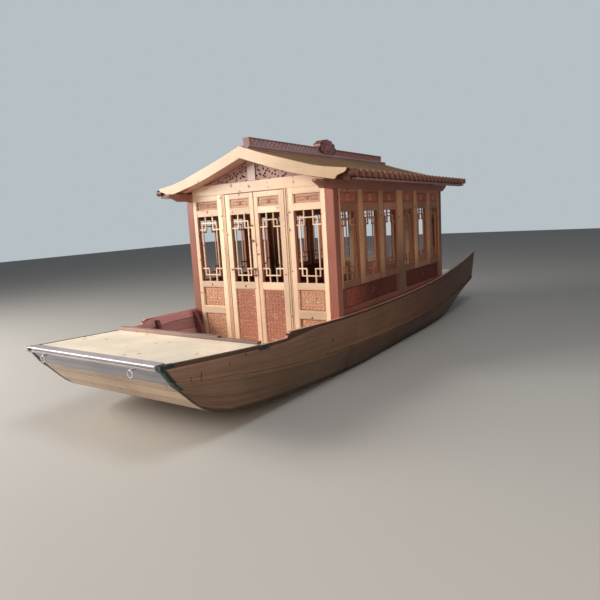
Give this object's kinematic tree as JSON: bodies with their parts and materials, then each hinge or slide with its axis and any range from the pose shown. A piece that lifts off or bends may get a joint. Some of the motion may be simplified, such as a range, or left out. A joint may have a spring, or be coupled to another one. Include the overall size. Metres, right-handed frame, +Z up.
{
  "type": "wooden pleasure boat with a cabin",
  "caption": "Flat-bottomed wooden pleasure boat with an upswept hull, a decked bow, a lattice-windowed cabin with hinged doors and a curved gable roof.",
  "frame": {"origin": "on the floor under the centre of the whole boat's bounding box", "axes": "+X towards the bow, +Y to port, +Z up"},
  "size_m": [7.06, 2.5282, 2.52],
  "materials": {
    "clear_pine": "clear satin varnish over pale pine",
    "pale_fir": "bare planed fir, dull",
    "red_stain": "reddish-brown stain, satin varnish",
    "brown_stain": "dark brown stain, glossy varnish",
    "strake_stain": "orange-brown stain, glossy varnish",
    "transom_stain": "grey-brown stain, satin varnish",
    "cap_lacquer": "glossy lacquer, pale lavender grey",
    "side_stain": "warm brown stain, satin varnish",
    "dark_iron": "dark painted iron, satin"
  },
  "bodies": {
    "hull_and_cabin": {"front_bay_port": "clear_pine", "front_bay_starboard": "clear_pine", "rear_bay_port": "clear_pine", "rear_bay_starboard": "clear_pine", "tie_beam_front": "clear_pine", "tie_beam_rear": "clear_pine", "barge_board_front": "clear_pine", "barge_board_rear": "clear_pine", "sole": "clear_pine", "deck_coaming": "clear_pine", "hull_bottom": "pale_fir", "bow_deck": "pale_fir", "stern_deck": "pale_fir", "well_bulkhead": "red_stain", "stern_bulkhead": "red_stain", "corner_post_front_port": "red_stain", "corner_post_front_starboard": "red_stain", "corner_post_rear_port": "red_stain", "corner_post_rear_starboard": "red_stain", "cabin_ledge_port": "red_stain", "cabin_ledge_starboard": "red_stain", "wall_plate_port": "red_stain", "wall_plate_starboard": "red_stain", "gable_front": "red_stain", "gable_rear": "red_stain", "eave_row_port": "red_stain", "eave_row_starboard": "red_stain", "ridge_base": "red_stain", "ridge_beam": "red_stain", "ridge_crest": "red_stain", "upper_strake_port": "brown_stain", "upper_strake_starboard": "brown_stain", "lower_strake_fore_port": "strake_stain", "lower_strake_mid_port": "strake_stain", "lower_strake_aft_port": "strake_stain", "lower_strake_fore_starboard": "strake_stain", "lower_strake_mid_starboard": "strake_stain", "lower_strake_aft_starboard": "strake_stain", "bow_transom": "transom_stain", "stern_transom": "transom_stain", "bow_cap": "cap_lacquer", "side_bay_fore_port": "side_stain", "side_bay_fore_starboard": "side_stain", "side_bay_aft_port": "side_stain", "side_bay_aft_starboard": "side_stain", "mid_post_port": "side_stain", "mid_post_starboard": "side_stain", "roof_slope_port": "side_stain", "roof_slope_starboard": "side_stain", "corner_strap_port": "dark_iron", "corner_strap_starboard": "dark_iron", "sheer_clip_port": "dark_iron", "sheer_clip_starboard": "dark_iron", "mooring_ring_port": "dark_iron", "mooring_ring_starboard": "dark_iron"},
    "front_door_port_leaf": {"front_door_port": "clear_pine"},
    "front_door_starboard_leaf": {"front_door_starboard": "clear_pine"},
    "rear_door_port_leaf": {"rear_door_port": "clear_pine"},
    "rear_door_starboard_leaf": {"rear_door_starboard": "clear_pine"}
  },
  "joints": [
    {"name": "front_door_port_hinge", "type": "hinge", "parent": "hull_and_cabin", "child": "front_door_port_leaf", "pos_m": [1.402, 0.375, 1.046], "axis": [0, 0, 1], "range_deg": [0, 100]},
    {"name": "front_door_starboard_hinge", "type": "hinge", "parent": "hull_and_cabin", "child": "front_door_starboard_leaf", "pos_m": [1.402, -0.375, 1.046], "axis": [0, 0, -1], "range_deg": [0, 100]},
    {"name": "rear_door_port_hinge", "type": "hinge", "parent": "hull_and_cabin", "child": "rear_door_port_leaf", "pos_m": [-1.552, 0.375, 1.046], "axis": [0, 0, -1], "range_deg": [0, 100]},
    {"name": "rear_door_starboard_hinge", "type": "hinge", "parent": "hull_and_cabin", "child": "rear_door_starboard_leaf", "pos_m": [-1.552, -0.375, 1.046], "axis": [0, 0, 1], "range_deg": [0, 100]}
  ]
}
